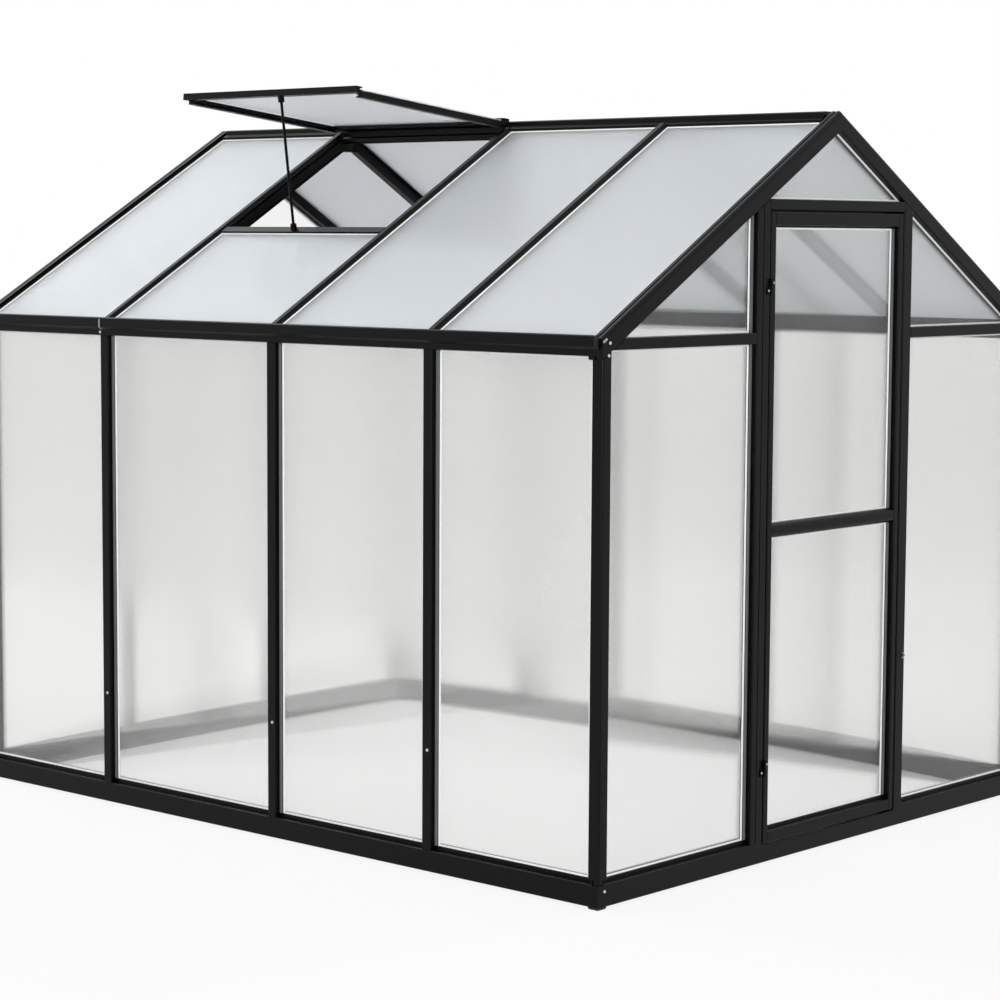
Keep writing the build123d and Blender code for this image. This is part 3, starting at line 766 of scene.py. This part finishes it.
@dataclass
class GlazingSeals:
    """Grey seals that lie on the lips of the posts and press on the panes."""

    building: Building
    breadth: float = 0.0098
    thick: float = 0.0014
    gap: float = 0.0006
    rib: float = 0.0028
    sink: float = 0.0005

    def strip(self, length: float) -> bpy.types.Object:
        """Upright strip on the origin: X across, -Y outwards, with a channel down its face.

        Args:
            length: Its height.

        Returns:
            The modelled strip.
        """
        half = self.breadth / 2
        outer = self.sink / 2 - self.thick
        made = block("seal_strip", (-half, -self.thick, 0), (half, 0, length))
        with editing(made) as mesh:
            pick(mesh, made, lambda face: face.normal.y < -FACING)
            bpy.ops.mesh.inset(thickness=self.rib)
            pull((0, self.sink, 0))
            pick(mesh, made, lambda edge: all(abs(vert.co.x) > half - TOUCH and vert.co.y < outer
                                              for vert in edge.verts), Select.EDGE)
            rounded(self.sink)
        return made

    def run(self, name: str, spots: list[tuple[float, float, float]], low: float, high: float,
            body: Body = Body.STRUCTURE) -> None:
        """Strips of one height at several places.

        Args:
            name: Name of the joined piece.
            spots: X, Y and the outward angle of each strip in degrees, 0 for -Y.
            low: Foot of the strips.
            high: Their top.
            body: What carries them.
        """
        places = [Matrix.Translation((x, y, low)) @ Matrix.Rotation(math.radians(turn), 4, "Z")
                  for x, y, turn in spots]
        dressed(gathered(name, self.strip(high - low), places), RUBBER, body)

    def build(self) -> None:
        """All seals of the walls, gables and door."""
        place = self.building
        lip = place.post_half + place.lip_reach / 2
        low = place.base_top + self.gap
        for side, name in ((-1, "left"), (1, "right")):
            x = side * (place.half - place.lip_set)
            spots = [(x, y + edge, 90 * side) for y in place.posts for edge in (-lip, lip)]
            self.run(f"wall_seals_{name}", spots, low, place.head_low - self.gap)
        y = place.end - place.lip_set
        spots = [(x + edge, y, 180) for x in (-place.back_post, place.back_post) for edge in (-lip, lip)]
        self.run("back_seals", spots, low, place.transom_low - self.gap)
        for side, edge, name in ((-1, place.hinge_edge, "left"), (1, place.latch_edge, "right")):
            spots = [(side * (edge - place.lip_reach / 2), -y, 0)]
            top = place.soffit - edge * place.rise
            self.run(f"jamb_seal_low_{name}", spots, low, place.transom_low - self.gap)
            self.run(f"jamb_seal_high_{name}", spots, place.transom_top + self.gap, top - self.gap)
        x = place.door_glass + place.lip_reach / 2
        spots = [(-x, -y, 0), (x, -y, 0)]
        for name, (foot, top) in (("low", place.door_low), ("high", place.door_high)):
            self.run(f"door_seals_{name}", spots, foot + self.gap, top - self.gap, Body.DOOR)


@dataclass
class PaneBeads:
    """White beads that run round the daylight outline of every pane."""

    building: Building
    breadth: float = 0.0045
    roof_breadth: float = 0.0030
    height: float = 0.0030
    clear: float = 0.0003
    edge: float = 0.0008

    def bead(self, corners: Outline, breadth: float) -> bpy.types.Object:
        """Closed bead in the XY plane, standing up along Z.

        Args:
            corners: Daylight outline, against the clock.
            breadth: Width of the bead.

        Returns:
            The modelled bead.
        """
        made = card("pane_bead", (*corners[0], 0.0), breadth)
        with editing(made):
            everything()
            bpy.ops.mesh.merge(type="CENTER")
            for before, after in zip(corners, corners[1:]):
                draw((after[0] - before[0], after[1] - before[1], 0.0))
            everything()
            bpy.ops.mesh.edge_face_add()
            bpy.ops.mesh.select_mode(type="FACE")
            everything()
            bpy.ops.mesh.inset(thickness=self.clear)
            bpy.ops.mesh.select_all(action="INVERT")
            bpy.ops.mesh.delete(type="FACE")
            everything()
            bpy.ops.mesh.inset(thickness=breadth)
            bpy.ops.mesh.delete(type="FACE")
            everything()
            pull((0, 0, self.height))
            mesh = bmesh.from_edit_mesh(made.data)
            pick(mesh, made, lambda edge: all(vert.co.z > self.height / 2 for vert in edge.verts)
                 and any(face.normal.z < 1 - FACING for face in edge.link_faces), Select.EDGE)
            rounded(self.edge)
            everything()
            bpy.ops.mesh.normals_make_consistent(inside=False)
        return made

    def lay(self, name: str, seat: Matrix, outlines: list[Outline], body: Body, breadth: float) -> None:
        """Beads of one face of the building.

        Args:
            name: Name of the joined piece.
            seat: Across, up and outward axes with the height of the panes.
            outlines: Daylight outlines in that place.
            body: What carries them.
            breadth: Width of the beads.
        """
        made = [gathered(name, self.bead(corners, breadth), [seat]) for corners in outlines]
        dressed(joined(name, made), WHITE_SEAL, body)

    @staticmethod
    def box(low: float, high: float, foot: float, top: float) -> Outline:
        """Outline of an upright pane."""
        return [(low, foot), (high, foot), (high, top), (low, top)]

    @staticmethod
    def facing(outward: Point, depth: float) -> Matrix:
        """Place of an upright wall.

        Args:
            outward: Direction that the wall faces.
            depth: Distance of its panes from the middle of the building.

        Returns:
            Across, up and outward axes at the panes.
        """
        out = Vector(outward)
        up = Vector((0.0, 0.0, 1.0))
        turn = Matrix((up.cross(out), up, out)).transposed().to_4x4()
        return Matrix.Translation(out * depth) @ turn

    def spans(self, edge: float) -> list[tuple[float, float]]:
        """Clear spans between the corner posts and the posts or bars, from front to back.

        Args:
            edge: Half the width of a post or bar with its lips.

        Returns:
            Start and end of each span along Y.
        """
        place = self.building
        stops = [side for y in place.posts for side in (y - edge, y + edge)]
        stops = [-place.inner_y, *stops, place.inner_y]
        return list(zip(stops[::2], stops[1::2]))

    def walls(self) -> None:
        """Beads of both long walls."""
        place = self.building
        for side, name in ((-1, "left"), (1, "right")):
            spans = [sorted((side * start, side * stop)) for start, stop in self.spans(place.post_edge)]
            outlines = [self.box(start, stop, place.base_top, place.head_low) for start, stop in spans]
            seat = self.facing((side, 0.0, 0.0), place.pane_x)
            self.lay(f"wall_beads_{name}", seat, outlines, Body.STRUCTURE, self.breadth)

    def front(self) -> None:
        """Beads of the front gable and the door."""
        place = self.building
        seat = self.facing((0.0, -1.0, 0.0), place.pane_y)
        low, high = place.transom_low, place.transom_top
        left, right = place.hinge_edge, place.latch_edge
        reach = (place.soffit - high) / place.rise
        crown = (place.soffit - place.lintel_top) / place.rise
        outlines = [self.box(-place.inner_x, -left, place.base_top, low),
                    self.box(right, place.inner_x, place.base_top, low),
                    [(-reach, high), (-left, high), (-left, place.soffit - left * place.rise)],
                    [(right, high), (reach, high), (right, place.soffit - right * place.rise)],
                    [(-crown, place.lintel_top), (crown, place.lintel_top), (0.0, place.soffit)]]
        self.lay("front_beads", seat, outlines, Body.STRUCTURE, self.breadth)
        spans = (place.door_low, place.door_high)
        outlines = [self.box(-place.door_glass, place.door_glass, *span) for span in spans]
        self.lay("door_beads", seat, outlines, Body.DOOR, self.breadth)

    def back(self) -> None:
        """Beads of the back gable."""
        place = self.building
        seat = self.facing((0.0, 1.0, 0.0), place.pane_y)
        half_stops = [-place.inner_x, -place.back_post - place.post_edge, place.post_edge - place.back_post]
        stops = half_stops + [-stop for stop in reversed(half_stops)]
        outlines = [self.box(start, stop, place.base_top, place.transom_low)
                    for start, stop in zip(stops[::2], stops[1::2])]
        reach = (place.soffit - place.transom_top) / place.rise
        outlines.append([(-reach, place.transom_top), (reach, place.transom_top), (0.0, place.soffit)])
        self.lay("back_beads", seat, outlines, Body.STRUCTURE, self.breadth)

    def slope(self, name: str, seat: Matrix, window: Optional[int]) -> None:
        """Beads of one slope.

        Args:
            name: Name of the joined piece.
            seat: Down, along and outward axes at the panes.
            window: Number of the bay under the roof window, if there is one.
        """
        place = self.building
        top, foot = place.roof_span
        outlines = [self.box(place.sill_foot if bay == window else top, foot, -stop, -start)
                    for bay, (start, stop) in enumerate(self.spans(place.bar_half))]
        self.lay(name, seat, outlines, Body.STRUCTURE, self.roof_breadth)

    def roofs(self) -> None:
        """Beads of both slopes."""
        place = self.building
        down = Vector((-math.cos(place.pitch), 0.0, -math.sin(place.pitch)))
        out = Vector((-math.sin(place.pitch), 0.0, math.cos(place.pitch)))
        turn = Matrix((down, out.cross(down), out)).transposed().to_4x4()
        left = Matrix.Translation(Vector((0.0, 0.0, place.ridge)) - out * place.roof_set) @ turn
        self.slope("roof_beads_left", left, place.window_bay)
        self.slope("roof_beads_right", Matrix.Scale(-1, 4, (1, 0, 0)) @ left, None)

    def build(self) -> None:
        """All beads."""
        self.walls()
        self.front()
        self.back()
        self.roofs()


@dataclass
class RidgeSaddles:
    """Saddles under the ridge that tie the heads of two roof bars together."""

    building: Building
    half: float = 0.0065
    height: float = 0.0237
    gap: float = 0.0004
    edge: float = 0.0015
    rim: float = 0.004
    pocket: float = 0.002

    def saddle(self) -> bpy.types.Object:
        """Saddle at the middle of the building, with pockets in its two faces.

        Returns:
            The modelled saddle.
        """
        reach = self.building.ridge_half
        top = self.building.ridge_low - self.gap
        low = top - self.height
        made = block("ridge_saddle", (-reach, -self.half, low), (reach, self.half, top))
        with editing(made) as mesh:
            pick(mesh, made, lambda edge: all(vert.co.z < low + TOUCH for vert in edge.verts), Select.EDGE)
            rounded(self.edge)
            for side in (-1, 1):
                pick(mesh, made, lambda face: face.normal.y * side > FACING)
                bpy.ops.mesh.inset(thickness=self.rim)
                pull((0, -side * self.pocket, 0))
        return made

    def build(self) -> None:
        """One saddle at the head of every pair of bars."""
        places = [Matrix.Translation((0.0, y, 0.0)) for y in self.building.posts]
        dressed(gathered("ridge_saddles", self.saddle(), places), COAT, Body.STRUCTURE)


@dataclass
class Fasteners:
    """Domed screws of the frame: one model, copied to every place."""

    building: Building
    head: float = 0.0042
    dome: float = 0.0024
    round_share: float = 0.6
    rim: float = 0.00085
    socket_share: float = 0.5
    hinge_share: float = 0.7
    sides: int = 12
    post_height: float = 0.315
    post_shift: float = -0.004
    corner_spots: tuple[tuple[float, float], ...] = ((0.9250, 1.3463), (0.9295, 1.3171), (0.9272, 0.0443))
    hinge_spots: tuple[float, ...] = (0.250, 1.471)
    hinge_axis: float = (least("hinge_leaves_jamb", Axis.X) + most("hinge_leaves_door", Axis.X)) / 2
    hinge_face: float = 0.0025
    hinge_reach: float = 0.0105
    hinge_lift: float = 0.010
    joint_y: float = 0.630
    joint_z: float = 1.3235

    def screw(self, share: float) -> bpy.types.Object:
        """Domed head with a round socket, upright on the origin.

        Args:
            share: Its size against a frame screw.

        Returns:
            The modelled screw.
        """
        rise = self.dome * share
        made = drum("screw", self.head * share, rise, self.sides)
        with editing(made) as mesh:
            pick(mesh, made, lambda edge: all(vert.co.z > rise - TOUCH for vert in edge.verts), Select.EDGE)
            rounded(rise * self.round_share)
            pick(mesh, made, lambda face: face.normal.z > FACING)
            bpy.ops.mesh.inset(thickness=self.rim * share)
            pull((0, 0, -rise * self.socket_share))
        return made

    def group(self, name: str, spots: list[tuple[Point, Point]], body: Body, share: float = 1.0) -> None:
        """Screws at several places.

        Args:
            name: Name of the joined piece.
            spots: Foot and outward direction of each screw.
            body: What carries them.
            share: Their size against a frame screw.
        """
        places = [turned(at, towards) for at, towards in spots]
        dressed(gathered(name, self.screw(share), places), ZINC, body)

    def build(self) -> None:
        """All screws that show."""
        place = self.building
        for side, name in ((-1, "left"), (1, "right")):
            out = (side, 0.0, 0.0)
            face = side * place.half
            spots = [((face, y + self.post_shift, self.post_height), out) for y in place.posts]
            spots.append(((face, self.joint_y, self.joint_z), out))
            self.group(f"post_screws_{name}", spots, Body.STRUCTURE)
        for side, name in ((-1, "front"), (1, "back")):
            out = (0.0, side, 0.0)
            spots = [((hand * x, side * place.end, z), out) for hand in (-1, 1) for x, z in self.corner_spots]
            self.group(f"corner_screws_{name}", spots, Body.STRUCTURE)
        out = (0.0, 1.0, 0.0)
        spots = [((hand * place.back_post, place.end, self.post_height), out) for hand in (-1, 1)]
        self.group("back_post_screws", spots, Body.STRUCTURE)
        out = (0.0, -1.0, 0.0)
        face = -place.end - self.hinge_face
        for hand, body, name in ((-1, Body.STRUCTURE, "jamb"), (1, Body.DOOR, "leaf")):
            x = self.hinge_axis + hand * self.hinge_reach
            spots = [((x, face, z + hand * self.hinge_lift), out) for z in self.hinge_spots]
            self.group(f"hinge_screws_{name}", spots, body, self.hinge_share)


@dataclass
class GutterJoints:
    """Pale joint straps that wrap the gutters where two lengths meet."""

    building: Building
    at: float = 0.621
    breadth: float = 0.005
    thick: float = 0.0008
    heel_share: float = 1 / 3
    foot: float = 1.3315
    shoulder: float = 1.338
    bead: float = 0.005
    bead_height: float = 1.360
    wrap: float = 150.0
    steps: int = 8

    def strap(self) -> bpy.types.Object:
        """Strap on the left gutter, from under the trough over the rolled lip.

        Returns:
            The modelled strap.
        """
        half = self.building.half
        outer = -self.building.gutter_x
        y = self.at - self.breadth / 2
        path = [Vector((-half + (half + outer) * self.heel_share, y, self.foot)),
                Vector((outer, y, self.shoulder)),
                Vector((outer, y, self.bead_height))]
        made = card("gutter_joint_left", path[0], self.breadth)
        with editing(made):
            everything()
            bpy.ops.mesh.merge(type="CENTER")
            for before, after in zip(path, path[1:]):
                draw(after - before)
            middle = (outer + self.bead, y, self.bead_height)
            bpy.ops.mesh.spin(steps=self.steps, angle=math.radians(self.wrap), center=middle, axis=(0, 1, 0))
            everything()
            pull((0, self.breadth, 0))
            everything()
            bpy.ops.mesh.remove_doubles(threshold=TOUCH)
            bpy.ops.mesh.normals_make_consistent(inside=False)
        thickened(made, self.thick)
        return made

    def build(self) -> None:
        """Straps of both gutters."""
        left = self.strap()
        right = copied(left, Matrix.Scale(-1, 4, (1, 0, 0)))
        right.name = "gutter_joint_right"
        for piece in (left, right):
            dressed(piece, PALE_SEAL, Body.STRUCTURE)


@dataclass
class CornerClips:
    """Small slanted clips where verges meet the corners, and the catch clip on the latch jamb."""

    building: Building
    length: float = 0.016
    height: float = 0.0055
    thick: float = 0.0016
    round_share: float = 0.45
    round_steps: int = 4
    rim_share: float = 0.2
    dish_share: float = 0.4
    at: tuple[float, float] = (0.9428, 1.3526)
    catch: tuple[float, float] = (0.330, 0.4712)
    catch_reach: float = 0.0055
    catch_half: float = 0.0075
    catch_thick: float = 0.0022
    catch_depth: float = 0.005
    catch_edge_share: float = 0.25

    def clip(self) -> bpy.types.Object:
        """Clip on the origin that faces -Y, with a dished face.

        Returns:
            The modelled clip.
        """
        half = self.length / 2
        made = block("corner_clip", (-half, -self.thick, -self.height / 2), (half, 0.0, self.height / 2))
        with editing(made) as mesh:
            pick(mesh, made, lambda edge: abs((edge.verts[0].co - edge.verts[1].co).normalized().y) > FACING,
                 Select.EDGE)
            rounded(self.height * self.round_share, self.round_steps)
            pick(mesh, made, lambda face: face.normal.y < -FACING)
            bpy.ops.mesh.inset(thickness=self.height * self.rim_share)
            pull((0, self.thick * self.dish_share, 0))
        return made

    def latch_clip(self) -> bpy.types.Object:
        """Folded catch on the latch jamb, its point away from the door.

        Returns:
            The modelled catch.
        """
        x, z = self.catch
        start = (x - self.catch_reach, -self.building.end, z + self.catch_half)
        made = card("latch_catch", start, self.catch_half)
        with editing(made):
            everything()
            bpy.ops.mesh.merge(type="CENTER")
            for across in (1, -1):
                draw((across * 2 * self.catch_reach, 0.0, -self.catch_half))
            everything()
            pull((0, -self.catch_depth, 0))
            everything()
            bpy.ops.mesh.normals_make_consistent(inside=False)
        thickened(made, self.catch_thick)
        edge = made.modifiers.new("edge", "BEVEL")
        edge.width = self.catch_thick * self.catch_edge_share
        edge.segments = ROUND_STEPS
        bpy.ops.object.modifier_apply(modifier=edge.name)
        return made

    def build(self) -> None:
        """Clips of the four corners and the catch."""
        x, z = self.at
        seat = Matrix.Translation((-x, -self.building.end, z)) @ Matrix.Rotation(-self.building.pitch, 4, "Y")
        across = Matrix.Scale(-1, 4, (1, 0, 0))
        along = Matrix.Scale(-1, 4, (0, 1, 0))
        places = [seat, across @ seat, along @ seat, along @ across @ seat]
        dressed(gathered("corner_clips", self.clip(), places), PALE_SEAL, Body.STRUCTURE)
        dressed(self.latch_clip(), PALE_SEAL, Body.STRUCTURE)


@dataclass(frozen=True)
class Lamp:
    """Square soft lamp."""

    name: str
    at: Point
    size: float
    power: float
    colour: Colour

    def hang(self, target: Point) -> None:
        """Adds the lamp, looking at a target.

        Args:
            target: What it looks at.
        """
        data = bpy.data.lights.new(self.name, "AREA")
        data.size = self.size
        data.energy = self.power
        data.color = self.colour
        made = bpy.data.objects.new(self.name, data)
        bpy.context.scene.collection.objects.link(made)
        aim = Vector(target) - Vector(self.at)
        made.matrix_world = Matrix.Translation(self.at) @ aim.to_track_quat("-Z", "Y").to_matrix().to_4x4()


WARM = (1.0, 0.99, 0.98)
COOL = (0.93, 0.97, 1.0)
NEUTRAL = (1.0, 1.0, 1.0)
LAMPS = (Lamp("near_softbox", (-6.7, -6.3, 2.5), 1.6, 340.0, WARM),
         Lamp("back_softbox", (0.4, 6.6, 6.8), 7.0, 140.0, COOL),
         Lamp("edge_softbox", (5.0, -1.9, 7.0), 1.2, 130.0, NEUTRAL),
         Lamp("rim_softbox", (-1.8, 5.9, 6.6), 1.5, 200.0, COOL))


@dataclass
class Studio:
    """Camera, light and floor."""

    lens: float = 97.05
    sensor: float = 36.0
    stand: Point = (-5.7776, -5.1821, 1.591)
    heading: float = -48.1553
    pitch: float = -5.5709
    roll: float = 0.3138
    lamp_target: Point = (0.0, 0.0, 0.9)
    world_light: float = 0.60
    floor_half: float = 40.0
    floor_grey: float = 0.80
    floor_eye: float = 0.86
    floor_glass: float = 0.64
    white: float = 1.0

    def camera(self) -> None:
        """Camera at the viewing angle of the picture."""
        yaw = math.radians(self.heading)
        tilt = math.radians(self.pitch)
        lean = math.radians(self.roll)
        ahead = Vector((math.sin(-yaw) * math.cos(tilt), math.cos(yaw) * math.cos(tilt), math.sin(tilt)))
        right = ahead.cross(Vector((0, 0, 1))).normalized()
        up = right.cross(ahead)
        side = right * math.cos(lean) + up * math.sin(lean)
        top = up * math.cos(lean) - right * math.sin(lean)
        data = bpy.data.cameras.new("view_camera")
        data.lens = self.lens
        data.sensor_width = self.sensor
        data.dof.use_dof = False
        made = bpy.data.objects.new("view_camera", data)
        bpy.context.scene.collection.objects.link(made)
        turn = Matrix((side, top, -ahead)).transposed().to_4x4()
        made.matrix_world = Matrix.Translation(self.stand) @ turn
        bpy.context.scene.camera = made

    @staticmethod
    def grey(level: float) -> tuple[float, float, float, float]:
        """Plain grey of a level."""
        return (level, level, level, 1.0)

    @staticmethod
    def seen(bench: NodeBench, eye: float, glass: float) -> Value:
        """Share of white for what the eye sees directly and for what metal and glass show of it.

        Args:
            bench: Tree to add nodes to.
            eye: Share for the direct view.
            glass: Share in reflections and through the panes.

        Returns:
            The share for the present ray.
        """
        direct, mirror, through = (bench.node("ShaderNodeLightPath", {}, {}, name)
                                   for name in ("Is Camera Ray", "Is Glossy Ray", "Is Transmission Ray"))
        return (direct * eye).larger(mirror * glass).larger(through * glass)

    def world(self) -> None:
        """White surroundings for what is seen, plain light for the rest."""
        made = bpy.data.worlds.new("studio")
        bpy.context.scene.world = made
        made.use_nodes = True
        bench = NodeBench(made.node_tree)
        share = self.seen(bench, self.white, self.white)
        strength = self.world_light + (self.white - self.world_light) * share
        sockets = {"Color": self.grey(self.white), "Strength": strength}
        bench.surface(bench.node("ShaderNodeBackground", {}, sockets, "Background"), "ShaderNodeOutputWorld")

    def floor(self) -> None:
        """Pale floor that merges with the surroundings and keeps a soft shadow."""
        rest()
        bpy.ops.mesh.primitive_plane_add(size=2 * self.floor_half)
        made = bpy.context.object
        made.name = "studio_floor"
        material = bpy.data.materials.new("studio_floor")
        material.use_nodes = True
        bench = NodeBench(material.node_tree)
        matt = bench.node("ShaderNodeBsdfDiffuse", {}, {"Color": self.grey(self.floor_grey)}, "BSDF")
        glow = {"Color": self.grey(self.white), "Strength": self.white}
        white = bench.node("ShaderNodeEmission", {}, glow, "Emission")
        share = self.seen(bench, self.floor_eye, self.floor_glass)
        bench.surface(bench.node("ShaderNodeMixShader", {}, {0: share, 1: matt, 2: white}, "Shader"))
        made.data.materials.append(material)

    def build(self) -> None:
        """Everything round the building."""
        bpy.context.scene.view_settings.view_transform = "Standard"
        self.camera()
        self.world()
        self.floor()
        for lamp in LAMPS:
            lamp.hang(self.lamp_target)


def main() -> None:
    """Builds the looks in order."""
    logging.basicConfig(level=logging.INFO, format="%(name)s %(message)s")
    building = Building()
    Studio().build()
    SolidFinishes().dress()
    GlazingSeals(building).build()
    PaneBeads(building).build()
    RidgeSaddles(building).build()
    Fasteners(building).build()
    GutterJoints(building).build()
    CornerClips(building).build()


if __name__ == "__main__":
    main()
